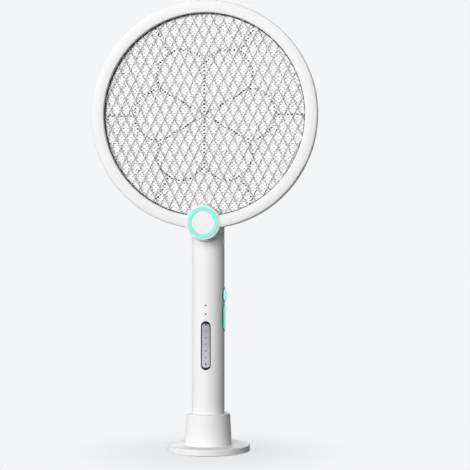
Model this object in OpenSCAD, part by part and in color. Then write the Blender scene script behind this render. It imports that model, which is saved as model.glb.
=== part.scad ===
// Electric fly swatter: a round racket head on a swivel, a straight handle and a charging stand.
// Millimetres. +Z runs up the handle, -Y is the face that the user sees, and the origin lies on
// the table under the stand, on the handle's axis.

/* [Head] */
// Outer diameter of the round frame
head_d = 220; // [200:1:240]
// Width of the frame's rim, seen from the front
rim_w = 12; // [11:0.5:14]
// Thickness of the whole frame, front to back
rim_t = 16; // [15:0.5:20]
// Radius of the crown across the rim's front face
crown_r = 17; // [16:0.5:30]
// Rounding of the front face's outer edge
front_round_out = 2; // [1:0.1:3]
// Rounding of the front face's inner edge
front_round_in = 1; // [0.5:0.1:2]
// Rounding of the rim's outer edge at the back
rim_round_out = 6; // [3:0.5:7]
// Rounding of the rim's inner edge at the back
rim_round_in = 3.5; // [2:0.5:4]
// Number of screws that clamp the two halves of the frame
head_screw_count = 8; // [4:2:12]

/* [Nets] */
// Thickness of each metal net
net_t = 0.6; // [0.4:0.1:0.8]
// Thickness of each spacer, which is the gap between two nets
spacer_t = 2.4; // [1.8:0.1:2.8]
// Width of a diamond in the two earthed outer nets
outer_cell_w = 9.56; // [8:0.1:16]
// Height of a diamond in the two earthed outer nets
outer_cell_h = 18.86; // [14:0.1:26]
// Width of a strand of the outer nets
outer_strand = 1.2; // [0.8:0.1:1.8]
// How far a diamond of the outer nets lies left of the head's centre
outer_net_left = 0.6; // [0:0.1:4.5]
// How far the same diamond lies above the head's centre
outer_net_up = 5.7; // [0:0.1:9]
// Width of a diamond in the live middle net
live_cell_w = 9.02; // [8:0.1:16]
// Height of a diamond in the live middle net
live_cell_h = 7.14; // [6:0.1:14]
// Width of a strand of the live net
live_strand = 1.1; // [0.8:0.1:1.6]

/* [Flower lattice] */
// Number of petals
petal_count = 6; // [5:1:8]
// Distance from the centre to the tip of a petal
petal_reach = 68.9; // [60:0.5:80]
// Distance from the centre to where two petals meet
petal_root = 48.2; // [40:0.5:52]
// Width of the lattice's ribs
rib_w = 2; // [1.2:0.1:3]

/* [Swivel hub] */
// Height of the swivel's axis above the table
pivot_z = 223.5; // [218:0.5:240]
// Radius of the round hub
hub_r = 16.8; // [16.5:0.1:18]
// How far the hub stands proud of the rim
hub_proud = 0.7; // [0.5:0.1:2]
// Outer radius of the coloured ring
ring_r_out = 15.1; // [14:0.1:15.3]
// Inner radius of the coloured ring
ring_r_in = 11.1; // [10:0.1:12]
// Radius of the bearing plate on the handle
bearing_plate_r = 18.3; // [17.5:0.1:20]
// Radius of the swivel's shaft
shaft_r = 5; // [4:0.1:5.5]
// Radius of the bore through the shaft
shaft_bore_r = 2.6; // [2:0.1:3]

/* [Handle] */
// Radius of the handle
handle_r = 16; // [15.5:0.1:17]
// Wall of the two handle shells
shell_wall = 2; // [1.6:0.1:2.4]
// Bottom of the lamp window
window_z0 = 80.4; // [74:0.1:84]
// Top of the lamp window
window_z1 = 128.1; // [122:0.1:130]
// Width of the lamp window
window_w = 9.7; // [8:0.1:11]
// Number of lamps behind the window
lamp_count = 4; // [2:1:6]
// Height of the lower indicator light
indicator_z = 135; // [134:0.1:136]
// Distance between the two indicator lights
indicator_pitch = 8.3; // [6:0.1:10]

/* [Keys] */
// Bottom of the long trigger key
trigger_z0 = 118.4; // [118:0.1:122]
// Top of the long trigger key
trigger_z1 = 143.6; // [140:0.1:144]
// Width of the trigger key
trigger_w = 8.4; // [7:0.1:9]
// How far the trigger key stands out of the handle
trigger_proud = 1.1; // [0.8:0.1:2.5]
// Bottom of the oval power button
button_z0 = 146.6; // [146.3:0.1:148]
// Top of the oval power button
button_z1 = 159.4; // [157:0.1:161]
// Width of the power button
button_w = 8; // [7:0.1:9]
// How far the power button stands out of the handle
button_proud = 2.4; // [2:0.1:3.5]
// Travel of both keys
key_travel = 0.8; // [0.3:0.1:0.9]
// Gap round both keys
key_gap = 0.2; // [0.15:0.05:0.4]
// Width of the black surround beside the keys
surround_side = 1.9; // [1.2:0.1:2.1]
// Width of the black surround above and below the keys
surround_end = 0.9; // [0.6:0.1:1.1]
// How far the black surround stands out of the handle
surround_proud = 0.4; // [0.2:0.1:0.8]

/* [Stand] */
// Radius of the stand's foot plate
plate_r = 40.8; // [38:0.1:48]
// Height of the foot plate's top
plate_h = 6.8; // [6.6:0.1:9]
// Radius of the collar where it meets the foot plate
collar_r_bottom = 23.1; // [22.5:0.1:24]
// Radius of the collar at its top
collar_r_top = 21.6; // [20.5:0.1:22.5]
// Height of the collar's top above the table
collar_top = 37.5; // [30:0.5:50]
// Rounding of the collar's top edge
collar_round = 1.6; // [1:0.1:3]
// Height of the rubber foot under the stand
foot_h = 0.8; // [0.6:0.1:1]

/* [Battery] */
// Diameter of the rechargeable cell
cell_d = 18.2; // [14:0.1:18.6]
// Length of the rechargeable cell
cell_len = 65; // [50:0.5:66]

/* [Clearances] */
// Gap between fitted pieces that don't move
fit = 0.1; // [0.05:0.01:0.15]
// Radial gap between the shaft and its bush
running_fit = 0.05; // [0.02:0.01:0.1]
// Gap between the head and the handle
swing_gap = 0.3; // [0.2:0.05:0.5]
// Gap between the handle and the stand's socket
socket_gap = 0.3; // [0.2:0.05:0.5]

/* [Hidden] */
$fn = 64;

// Colours of the mouldings and metals
WHITE = "#f4f4f2";
TEAL = "#7fe3d0";
BLACK = "#26282b";
BOARD_GREEN = "#2f6b45";
BRASS = "#c9a24a";

// Head, front to back. The rim's rear face clears the handle by swing_gap.
head_r = head_d / 2;
open_r = head_r - rim_w;
head_z = pivot_z + head_r - rim_w / 2;
rim_back_y = -handle_r - swing_gap;
rim_mid_y = rim_back_y - rim_t / 2;
crown_top = 5.3;
rim_front_y = rim_back_y - rim_t;
stack_t = 3 * net_t + 2 * spacer_t;
pocket_depth = stack_t / 2 + fit / 2;
net_r = open_r + 4.9;
pocket_r = net_r + 3 * fit;
stack_y = rim_mid_y - stack_t / 2;
front_spacer_y = stack_y + net_t;
live_net_y = front_spacer_y + spacer_t;
rear_spacer_y = live_net_y + net_t;
rear_net_y = rear_spacer_y + spacer_t;
net_border = 1.4;
lattice_ring_r = open_r - 1;

// Screws of the head
head_screw_r = (pocket_r + head_r) / 2 - 0.2;
screw_shank_r = 1.1;
screw_head_r = 2;
screw_head_h = 1.6;
head_screw_seat = rim_back_y - 3.5;
head_screw_len = 8.6;

// Hub
hub_front_y = rim_front_y - hub_proud;
hub_back_y = rim_back_y + 0.4;
hub_edge = 1.1;
hub_core_r = 13;
net_hub_r = hub_core_r + 3 * fit;
ring_seat_y = hub_front_y + 1.4;
ring_proud = 0.4;
flange_r = 9;
flange_t = 1.6;
shaft_end_y = 9.6;
clip_y = 7.6;
clip_t = 0.8;
clip_r = 7.2;
clip_groove = 0.6;
pin_r = 1.2;
strap_t = 0.4;
strap_w = 3;
strap_room = 0.4;
earth_x = 5.5;
flange_y = stack_y - strap_t;
pin_front_y = flange_y - flange_t - 0.4;
pin_end_y = shaft_end_y + 0.8;

// Bearing of the swivel in the handle
bearing_back_y = hub_back_y + swing_gap + 3;
bearing_front_y = hub_back_y + swing_gap;
bush_r = 7;
bush_flange_r = 9;
bush_flange_t = 1.5;
bush_end_y = 6;
boss_r = 9.6;
washer_r = 8;

// Handle
handle_z0 = plate_h + 2.2;
shell_r = handle_r - shell_wall;
cap_h = 1.8;
spigot_h = 4;
dome_round = 12;
shell_z0 = handle_z0 + cap_h;
screw_boss_r = 3;
side_boss_r = 2.7;
side_screw_x = 10.4;
side_screw_z = 109.2;
upper_screw_z = pivot_z - 19.5;

// Lamp and indicators
lens_depth = 2.6;
lamp_board_y = -10.6;
board_t = 1;
lamp_board_w = 8.4;
lamp_margin = 3.4;
lamp_pitch = 12.8;
lamp_r = 1.2;
lamp_base = 1.25;
rib_h = 4;
indicator_r = 0.75;

// Keys
bezel_r = shell_r - fit / 2;
bezel_t = 1.6;
key_board_x = 7.6;
key_board_w = 12;
tact_h = 2.4;
trigger_face_r = handle_r + trigger_proud;
key_skirt_r = shell_r + key_travel + 0.2;
stem_r = 1.8;
stem_end_x = key_board_x + board_t + tact_h + key_travel + 0.1;
button_dome_r = 26;

// Electronics
main_board_y = 5;
main_board_x = -12;
main_board_w = 18;
main_board_z0 = 113;
main_board_z1 = pivot_z - 26;

// Battery. It hangs down from the middle pair of screws, and the lowest screw keeps below it.
cell_y = 3.5;
cell_z0 = side_screw_z - 4.2 - cell_len;
lower_screw_z = cell_z0 - 14;
contact_t = 0.5;
contact_r = 6;
cradle_wall = 0.9;

// Stand
plate_round = 1.2;
stand_wall = 1.8;
sleeve_wall = 1.6;
socket_r = handle_r + socket_gap;
base_t = 1.3;
base_r = plate_r - stand_wall - fit;
socket_floor = handle_z0 - 0.05;
floor_t = 1.6;
foot_r_in = 30;
foot_r_out = 37.6;
foot_groove = 0.6;
ballast_r_in = 24.6;
ballast_r_out = 38;
stand_screw_r = 33.8;
stand_boss_r = 3;
stand_screw_angles = [30, 150, 270];
usb_w = 9;
usb_h = 3.2;
usb_len = 7.4;
usb_z = foot_h + base_t + 0.1;
usb_wall = 0.35;
usb_tongue_t = 0.7;
stand_board_w = 18;
stand_board_front = 6;
pad_x = 5;
pad_r = 2;
pad_recess = 0.6;
pin_contact_r = 0.9;

// ---------------------------------------------------------------- shared shapes

// A flat shape drawn in X and Z, made solid from y0 back to y1
module slab_y(y0, y1) {
    translate([0, y1, 0]) rotate([90, 0, 0]) linear_extrude(y1 - y0) children();
}

// A round bar along Y
module rod_y(x, z, y0, y1, r) {
    translate([x, y1, z]) rotate([90, 0, 0]) cylinder(h = y1 - y0, r = r);
}

// A profile of radius and forward distance, turned about the Y axis through [0, y, z]
module turn_y(y, z) {
    translate([0, y, z]) rotate([90, 0, 0]) rotate_extrude() children();
}

// A flat ring
module ring_2d(r_out, r_in) {
    difference() {
        circle(r_out);
        circle(r_in);
    }
}

// A slot with round ends, standing upright, centred on the origin
module slot_2d(w, h) {
    square([w, h - w], center = true);
    translate([0, (h - w) / 2]) circle(w / 2);
    translate([0, -(h - w) / 2]) circle(w / 2);
}

// A box from one corner to the other
module box(from, to) {
    translate(from) cube(to - from);
}

// A slot-shaped bar along X, between the heights z0 and z1
module slot_bar_x(w, z0, z1, x0, x1) {
    translate([x0, 0, (z0 + z1) / 2]) rotate([90, 0, 90]) linear_extrude(x1 - x0)
        slot_2d(w, z1 - z0);
}

// ---------------------------------------------------------------- head frame

// Front half of the rim's section: radius across, forward distance up. The face is crowned, and an
// arc that touches both the crown and the wall rounds each edge.
module rim_front_2d() {
    crown_x = open_r + crown_top;
    crown_y = rim_t / 2 - crown_r;
    out_r = crown_r - front_round_out;
    in_r = crown_r - front_round_in;
    out_x = head_r - front_round_out;
    in_x = open_r + front_round_in;
    out_y = crown_y + sqrt(pow(out_r, 2) - pow(out_x - crown_x, 2));
    in_y = crown_y + sqrt(pow(in_r, 2) - pow(in_x - crown_x, 2));
    out_touch_x = crown_x + (out_x - crown_x) * crown_r / out_r;
    in_touch_x = crown_x + (in_x - crown_x) * crown_r / in_r;
    intersection() {
        translate([crown_x, crown_y]) circle(crown_r);
        translate([in_touch_x, 0]) square([out_touch_x - in_touch_x, rim_t]);
    }
    translate([out_x, out_y]) circle(front_round_out);
    translate([in_x, in_y]) circle(front_round_in);
    translate([in_x, 0]) square([head_r - in_x, out_y]);
    translate([open_r, 0]) square([rim_w / 2, in_y]);
}

// Rear half of the rim's section
module rim_rear_2d() {
    half = rim_t / 2;
    translate([open_r + rim_round_in, 0]) square([rim_w - rim_round_in - rim_round_out, half]);
    translate([open_r, 0]) square([rim_w, half - max(rim_round_in, rim_round_out)]);
    translate([open_r, 0]) square([rim_round_in, half - rim_round_in]);
    intersection() {
        translate([open_r, 0]) square([rim_w, half]);
        union() {
            translate([open_r + rim_round_in, half - rim_round_in]) circle(rim_round_in);
            translate([head_r - rim_round_out, half - rim_round_out]) circle(rim_round_out);
        }
    }
}

// Room for the clamped stack of nets, in one half of the frame
module stack_pocket(y0, y1) {
    slab_y(y0, y1) difference() {
        translate([0, head_z]) circle(pocket_r, $fn = 128);
        translate([0, pivot_z]) circle(hub_core_r);
    }
}

// Places its child at each screw of the head
module at_head_screws() {
    for (i = [0:head_screw_count - 1])
        translate([0, 0, head_z]) rotate([0, (i + 0.5) * 360 / head_screw_count, 0])
            translate([0, 0, head_screw_r]) children();
}

module head_front_frame() {
    color(WHITE) difference() {
        union() {
            turn_y(rim_mid_y, head_z) rim_front_2d();
            turn_y(rim_mid_y, pivot_z) hub_front_2d();
        }
        stack_pocket(rim_mid_y - pocket_depth, rim_mid_y + 1);
        rod_y(0, pivot_z, hub_front_y - 1, ring_seat_y, ring_r_out + fit / 2);
        rod_y(0, pivot_z, hub_front_y - 1, flange_y, flange_r + fit / 2);
        rod_y(0, pivot_z, hub_front_y - 1, rim_mid_y + 1, shaft_r + fit / 2);
        live_strap_room();
        earth_strap_room();
        at_head_screws() rod_y(0, 0, rim_front_y + 3, rim_mid_y + 1, screw_shank_r + fit / 2);
    }
}

// Section of the hub's front half
module hub_front_2d() {
    h = rim_mid_y - hub_front_y;
    square([hub_r - hub_edge, h]);
    square([hub_r, h - hub_edge]);
    intersection() {
        translate([hub_r - hub_edge, h - hub_edge]) circle(hub_edge);
        square([hub_r, h]);
    }
}

module head_rear_frame() {
    color(WHITE) difference() {
        union() {
            translate([0, rim_mid_y, head_z]) rotate([-90, 0, 0]) rotate_extrude() rim_rear_2d();
            rod_y(0, pivot_z, rim_mid_y, hub_back_y, hub_r);
        }
        stack_pocket(rim_mid_y - 1, rim_mid_y + pocket_depth);
        rod_y(0, pivot_z, rim_mid_y - 1, hub_back_y + 1, shaft_r + fit / 2);
        live_strap_room();
        earth_strap_room();
        at_head_screws() {
            rod_y(0, 0, rim_mid_y - 1, 0, screw_shank_r + fit / 2);
            rod_y(0, 0, head_screw_seat, 0, screw_head_r + fit);
        }
    }
}

// A pan head screw along Y that points forwards, with its head's seat at y
module screw_y(y, length) {
    rod_y(0, 0, y, y + screw_head_h, screw_head_r);
    rod_y(0, 0, y - length, y + screw_head_h / 2, screw_shank_r);
}

module head_screws() {
    color("silver") at_head_screws() screw_y(head_screw_seat, head_screw_len);
}

// ---------------------------------------------------------------- nets and spacers

// Corners of the diamond opening at [x, z]
function diamond(x, z, w, h) = [[x + w, z], [x, z + h], [x - w, z], [x, z - h]];

// Distances from point c to the corners of a diamond
function reaches(corners, c) = [for (p = corners) norm(p - c)];

// A round net with rows of diamond openings round the one centred on place, and every other row
// shifted by half a cell. Its edge and the edge of its cut-out round the hub stay solid.
module net_2d(cell_w, cell_h, strand, place) {
    hub = [0, pivot_z - head_z];
    holes_r = net_r - net_border;
    hub_border_r = net_hub_r + 1.5 * net_border;
    rows = ceil((net_r + abs(place.y)) / (cell_h / 2));
    columns = ceil((net_r + abs(place.x)) / cell_w);
    scale_down = 1 - strand / 2 * norm([2 / cell_w, 2 / cell_h]);
    difference() {
        circle(net_r, $fn = 128);
        translate(hub) circle(net_hub_r);
        for (row = [-rows:rows], column = [-columns:columns]) {
            x = place.x + (column + (row % 2 == 0 ? 0 : 0.5)) * cell_w;
            z = place.y + row * cell_h / 2;
            corners = diamond(x, z, scale_down * cell_w / 2, scale_down * cell_h / 2);
            out = reaches(corners, [0, 0]);
            near = reaches(corners, hub);
            whole = max(out) < holes_r && min(near) > hub_border_r;
            at_edge = max(out) >= holes_r && min(out) < holes_r - 0.5 && min(near) > hub_border_r;
            at_hub = max(out) < holes_r && min(near) <= hub_border_r && max(near) > hub_border_r + 0.5;
            if (whole) polygon(corners);
            if (at_edge) intersection() {
                polygon(corners);
                circle(holes_r, $fn = 128);
            }
            if (at_hub) difference() {
                polygon(corners);
                translate(hub) circle(hub_border_r);
            }
        }
    }
}

// One of the two outer nets, with its front face at y
module outer_net(y) {
    slab_y(y, y + net_t) translate([0, head_z])
        net_2d(outer_cell_w, outer_cell_h, outer_strand, [-outer_net_left, outer_net_up]);
}

module front_net() {
    color("gainsboro") outer_net(stack_y);
}

module live_net() {
    color("silver") slab_y(live_net_y, live_net_y + net_t) translate([0, head_z])
        net_2d(live_cell_w, live_cell_h, live_strand, [0, 0]);
}

module rear_net() {
    color("gainsboro") outer_net(rear_net_y);
}

// A straight rib along X from x0 to x1
module rib_2d(x0, x1) {
    translate([x0, -rib_w / 2]) square([x1 - x0, rib_w]);
}

// The outer part of one petal: an arc that starts and ends where two petals meet
module petal_arc_2d() {
    half_angle = 180 / petal_count;
    root_x = petal_root * cos(half_angle);
    arc_x = (pow(petal_reach, 2) - pow(petal_root, 2)) / (2 * (petal_reach - root_x));
    arc_r = petal_reach - arc_x;
    difference() {
        translate([arc_x, 0]) ring_2d(arc_r + rib_w / 2, arc_r - rib_w / 2);
        translate([root_x - 2 * arc_r, -2 * arc_r]) square([2 * arc_r, 4 * arc_r]);
    }
}

// The ribs that draw a flower of petals, with a spoke from each tip out to the ring
module flower_2d() {
    for (i = [0:petal_count - 1]) rotate(i * 360 / petal_count) {
        rotate(180 / petal_count) rib_2d(0, petal_root + rib_w / 4);
        petal_arc_2d();
        rib_2d(petal_reach, lattice_ring_r + 1);
    }
}

// A ring between two nets, with what its children draw inside it, cut out round the hub
module spacer(y) {
    slab_y(y, y + spacer_t) translate([0, head_z]) difference() {
        union() {
            ring_2d(net_r, lattice_ring_r);
            children();
        }
        translate([0, pivot_z - head_z]) circle(net_hub_r);
    }
}

module front_spacer() {
    color(BLACK) spacer(front_spacer_y);
}

module rear_spacer() {
    color(BLACK) spacer(rear_spacer_y) flower_2d();
}

// ---------------------------------------------------------------- hub and swivel

module hub_ring() {
    h = ring_seat_y - hub_front_y + ring_proud;
    color(TEAL) turn_y(ring_seat_y, pivot_z) {
        translate([ring_r_in, 0]) square([ring_r_out - ring_r_in, h - ring_proud]);
        translate([ring_r_in + ring_proud, 0]) square([ring_r_out - ring_r_in - 2 * ring_proud, h]);
        translate([ring_r_in + ring_proud, h - ring_proud]) circle(ring_proud, $fn = 24);
        translate([ring_r_out - ring_proud, h - ring_proud]) circle(ring_proud, $fn = 24);
    }
}

module hub_cap() {
    color(WHITE) union() {
        rod_y(0, pivot_z, hub_front_y - 0.1, ring_seat_y, ring_r_in - fit / 2);
        rod_y(0, pivot_z, ring_seat_y - 0.5, pin_front_y - strap_t - 2 * fit, flange_r - fit);
    }
}

// Hollow shaft: its flange sits in the hub and a clip holds its rear end
module swivel_shaft() {
    color("silver") difference() {
        union() {
            rod_y(0, pivot_z, flange_y - flange_t, flange_y, flange_r);
            rod_y(0, pivot_z, flange_y - flange_t / 2, shaft_end_y, shaft_r);
        }
        rod_y(0, pivot_z, flange_y - flange_t - 1, shaft_end_y + 1, shaft_bore_r);
        difference() {
            rod_y(0, pivot_z, clip_y, clip_y + clip_t, shaft_r + 1);
            rod_y(0, pivot_z, clip_y - 1, clip_y + clip_t + 1, shaft_r - clip_groove);
        }
    }
}

module pin_sleeve() {
    color("ivory") difference() {
        rod_y(0, pivot_z, flange_y - flange_t, shaft_end_y, shaft_bore_r - fit / 2);
        rod_y(0, pivot_z, flange_y - flange_t - 1, shaft_end_y + 1, pin_r + fit / 2);
    }
}

module contact_pin() {
    color(BRASS) rod_y(0, pivot_z, pin_front_y, pin_end_y, pin_r);
}

// Bent brass strap from the live net, over the shaft's flange, to the contact pin
module live_strap_bars(grow) {
    y_front = pin_front_y - strap_t;
    top = pivot_z + net_hub_r + 1;
    bend = pivot_z + flange_r + 1.4;
    side = strap_w / 2 + grow;
    box([-side, live_net_y - strap_t - grow, bend - grow], [side, live_net_y, top + grow]);
    box([-side, y_front - grow, bend - grow], [side, live_net_y, bend + strap_t + grow]);
    box([-side, y_front - grow, pivot_z - pin_r - grow], [side, y_front + strap_t, bend + strap_t]);
}

module live_strap() {
    color(BRASS) live_strap_bars(0);
}

// Straps from the two outer nets down to the shaft's flange and to the shaft itself
module earth_strap_bars(grow) {
    top = pivot_z + net_hub_r + 1;
    side = strap_w / 2 + grow;
    box([earth_x - side, flange_y, pivot_z + shaft_r - grow],
        [earth_x + side, stack_y, top + grow]);
    box([-side, rear_net_y + net_t, pivot_z + shaft_r],
        [side, rear_net_y + net_t + strap_t + grow, top + grow]);
}

module earth_straps() {
    color(BRASS) earth_strap_bars(0);
}

module live_strap_room() {
    live_strap_bars(strap_room);
}

module earth_strap_room() {
    earth_strap_bars(strap_room);
}

// Open spring clip in the shaft's groove
module retaining_clip() {
    color("dimgray") difference() {
        rod_y(0, pivot_z, clip_y + fit / 2, clip_y + clip_t - fit / 2, clip_r);
        rod_y(0, pivot_z, clip_y - 1, clip_y + clip_t + 1, shaft_r - clip_groove + fit / 2);
        box([-2.2, clip_y - 1, pivot_z - clip_r - 1], [2.2, clip_y + clip_t + 1, pivot_z]);
    }
}

module bearing_plate() {
    color(WHITE) difference() {
        turn_y(bearing_back_y, pivot_z) bearing_plate_2d();
        rod_y(0, pivot_z, bearing_front_y - 1, bearing_back_y + 1, bush_r + fit / 2);
        rod_y(0, pivot_z, bearing_front_y - 1, bearing_front_y + bush_flange_t, bush_flange_r + fit / 2);
    }
}

// Section of the bearing plate, with a rounded front edge
module bearing_plate_2d() {
    t = bearing_back_y - bearing_front_y;
    edge = 0.6;
    square([bearing_plate_r - edge, t]);
    square([bearing_plate_r, t - edge]);
    translate([bearing_plate_r - edge, t - edge]) circle(edge, $fn = 24);
}

module swivel_bush() {
    color("tan") difference() {
        union() {
            rod_y(0, pivot_z, bearing_front_y, bearing_front_y + bush_flange_t, bush_flange_r);
            rod_y(0, pivot_z, bearing_front_y + 0.5, bush_end_y, bush_r);
        }
        rod_y(0, pivot_z, bearing_front_y - 1, bush_end_y + 1, shaft_r + running_fit);
    }
}

module thrust_washer() {
    color("silver") slab_y(bush_end_y + fit, clip_y - 0.1)
        translate([0, pivot_z]) ring_2d(washer_r, shaft_r + 2 * running_fit);
}

// Leaf that presses on the end of the contact pin
module live_brush() {
    y = pin_end_y + running_fit;
    color(BRASS) {
        box([-strap_w / 2, y, main_board_z1 - 4], [strap_w / 2, y + strap_t, pivot_z + pin_r]);
        box([-strap_w / 2, main_board_y + board_t, main_board_z1 - 4],
            [strap_w / 2, y + strap_t, main_board_z1 - 4 + strap_t]);
    }
}

// Leaf that rubs on the underside of the shaft behind the bush
module earth_brush() {
    z = pivot_z - shaft_r - running_fit;
    y0 = clip_y + clip_t + 0.2;
    x0 = -strap_w / 2 - 4;
    color(BRASS) {
        box([x0, y0, z - strap_t], [strap_w / 2, shaft_end_y, z]);
        box([x0, y0, main_board_z1 - 8], [x0 + strap_w, y0 + strap_t, z]);
        box([x0, main_board_y + board_t, main_board_z1 - 8],
            [x0 + strap_w, y0 + strap_t, main_board_z1 - 8 + strap_t]);
    }
}

// ---------------------------------------------------------------- handle

// The handle's round bar, whose top edge is rounded over
module handle_bar(r, z0) {
    top_round = dome_round - (handle_r - r);
    top_z = pivot_z + r;
    rotate_extrude() {
        translate([0, z0]) square([r, top_z - top_round - z0]);
        translate([0, z0]) square([r - top_round, top_z - z0]);
        translate([r - top_round, top_z - top_round]) intersection() {
            circle(top_round);
            square(top_round);
        }
    }
}

// Both shells together, without bosses
module handle_walls() {
    difference() {
        handle_bar(handle_r, shell_z0);
        handle_bar(shell_r, shell_z0 - 1);
    }
}

// Heights and offsets of the five screws that join the shells
function handle_screw_places() = [
    [0, lower_screw_z], [-side_screw_x, side_screw_z], [side_screw_x, side_screw_z],
    [-side_screw_x, upper_screw_z], [side_screw_x, upper_screw_z]
];

// Half width of the handle's cavity at the side distance x
function wall_y(x) = sqrt(pow(shell_r, 2) - pow(x, 2));

module handle_front_shell() {
    color(WHITE) difference() {
        union() {
            intersection() {
                handle_walls();
                box([-20, -20, 0], [20, 0, pivot_z + 20]);
            }
            // Flat wall behind the bearing plate, and the bush's boss
            intersection() {
                handle_bar(handle_r - 0.5, shell_z0);
                box([-20, bearing_back_y, pivot_z - bearing_plate_r - shell_wall],
                    [20, bearing_back_y + shell_wall, pivot_z + 20]);
            }
            rod_y(0, pivot_z, bearing_back_y, bush_end_y - 0.5, boss_r);
            for (p = handle_screw_places())
                rod_y(p.x, p.y, -wall_y(p.x) - 0.5, 0, screw_boss_r - abs(p.x) / 40);
            // Two ledges that carry the lamp board
            for (z = [window_z0 - rib_h - 1, lamp_board_top() - rib_h])
                box([-lamp_board_w / 2, -wall_y(lamp_board_w / 2) - 0.6, z],
                    [lamp_board_w / 2, lamp_board_y, z + rib_h]);
        }
        rod_y(0, pivot_z, -handle_r - 2, bearing_back_y, bearing_plate_r + fit);
        rod_y(0, pivot_z, bearing_back_y - 1, bush_end_y + 1, bush_r + fit / 2);
        window_bar(0, -wall_y(window_w / 2) + 1);
        for (i = [0, 1])
            rod_y(0, indicator_z + i * indicator_pitch, -handle_r - 1, -shell_r + 1,
                indicator_r + fit / 2);
        for (p = handle_screw_places())
            rod_y(p.x, p.y, -6, 1, screw_shank_r + fit / 2);
        key_openings();
    }
}

// Slot-shaped bar through the front wall at the window, made smaller by gap all round
module window_bar(gap, y1) {
    slab_y(-handle_r - 2, y1) translate([0, (window_z0 + window_z1) / 2])
        slot_2d(window_w - 2 * gap, window_z1 - window_z0 - 2 * gap);
}

// Bars through the two key openings, made larger than the keys beside them and at their ends
module key_bars(side, end, x0) {
    slot_bar_x(trigger_w + 2 * side, trigger_z0 - end, trigger_z1 + end, x0, 20);
    slot_bar_x(button_w + 2 * side, button_z0 - end, button_z1 + end, x0, 20);
}

module key_openings() {
    key_bars(surround_side, surround_end, shell_r - 6);
}

module handle_rear_shell() {
    color(WHITE) difference() {
        union() {
            intersection() {
                handle_walls();
                box([-20, 0, 0], [20, 20, pivot_z + 20]);
            }
            for (p = handle_screw_places())
                rod_y(p.x, p.y, 0, wall_y(p.x) + 0.5, screw_boss_r - abs(p.x) / 40);
            // Posts that carry the main board
            for (z = [main_board_z0 + 6, main_board_z1 - 12])
                rod_y(-6, z, main_board_y + board_t, wall_y(6) + 0.6, 2);
        }
        for (p = handle_screw_places()) {
            rod_y(p.x, p.y, -1, 20, screw_shank_r + fit / 2);
            rod_y(p.x, p.y, handle_screw_seat(p.x), 20, screw_head_r + fit);
        }
        key_openings();
    }
}

// Depth of a screw head's seat in the rear shell at the side distance x
function handle_screw_seat(x) = sqrt(pow(handle_r, 2) - pow(abs(x) + 2, 2)) - screw_head_h - 0.8;

module handle_screws() {
    color("silver") for (p = handle_screw_places())
        translate([p.x, 0, p.y]) screw_y(handle_screw_seat(p.x), handle_screw_seat(p.x) + 5);
}

// ---------------------------------------------------------------- lamp and indicators

module window_lens() {
    color("#b9b7c6") intersection() {
        difference() {
            translate([0, 0, window_z0 - 1]) cylinder(h = window_z1 - window_z0 + 2, r = handle_r);
            translate([0, 0, window_z0 - 2])
                cylinder(h = window_z1 - window_z0 + 4, r = handle_r - lens_depth);
        }
        window_bar(fit, 0);
    }
}

function lamp_board_top() = indicator_z + indicator_pitch + 5;

module lamp_board() {
    color(BOARD_GREEN) box([-lamp_board_w / 2, lamp_board_y, window_z0 - rib_h],
        [lamp_board_w / 2, lamp_board_y + board_t, lamp_board_top()]);
}

module lamps() {
    color("lavender") for (i = [0:lamp_count - 1]) {
        z = window_z1 - lamp_margin - i * lamp_pitch;
        rod_y(0, z, lamp_board_y - lamp_base, lamp_board_y, lamp_r);
        translate([0, lamp_board_y - lamp_base, z]) sphere(lamp_r, $fn = 32);
    }
}

module indicator_lights() {
    color("darkred") for (i = [0, 1])
        rod_y(0, indicator_z + i * indicator_pitch, -handle_r, lamp_board_y, indicator_r);
}

// ---------------------------------------------------------------- keys

// A round bar along X
module rod_x(y, z, x0, x1, r) {
    translate([x0, y, z]) rotate([0, 90, 0]) cylinder(h = x1 - x0, r = r);
}

function trigger_mid() = (trigger_z0 + trigger_z1) / 2;
function button_mid() = (button_z0 + button_z1) / 2;

// Black surround of both keys, on a curved floor that stands on four posts from the key board
module key_bezel() {
    z0 = trigger_z0 - 3;
    h = button_z1 + 3 - z0;
    w = trigger_w + 2 * surround_side + 2;
    color("#3a3538") difference() {
        union() {
            intersection() {
                translate([0, 0, z0]) difference() {
                    cylinder(h = h, r = bezel_r);
                    translate([0, 0, -1]) cylinder(h = h + 2, r = bezel_r - bezel_t);
                }
                box([0, -w / 2, z0], [20, w / 2, z0 + h]);
            }
            intersection() {
                key_bars(surround_side - fit, surround_end - fit, bezel_r - bezel_t);
                translate([0, 0, z0]) difference() {
                    cylinder(h = h, r = handle_r + surround_proud);
                    translate([0, 0, -1]) cylinder(h = h + 2, r = bezel_r - bezel_t / 2);
                }
            }
            for (y = [-5, 5], z = [z0 + 2, z0 + h - 2])
                rod_x(y, z, key_board_x + board_t, bezel_r - bezel_t, 0.9);
        }
        difference() {
            key_bars(key_gap, key_gap, bezel_r - bezel_t);
            translate([0, 0, z0 - 1]) cylinder(h = h + 2, r = bezel_r);
        }
        for (z = [trigger_mid(), button_mid()]) rod_x(0, z, 0, 20, stem_r + 0.3);
    }
}

module key_board() {
    color(BOARD_GREEN) box([key_board_x, -key_board_w / 2, trigger_z0 - 3],
        [key_board_x + board_t, key_board_w / 2, button_z1 + 3]);
}

module tact_switches() {
    x = key_board_x + board_t;
    color(BLACK) for (z = [trigger_mid(), button_mid()])
        box([x, -2.5, z - 2.5], [x + tact_h, 2.5, z + 2.5]);
}

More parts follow.
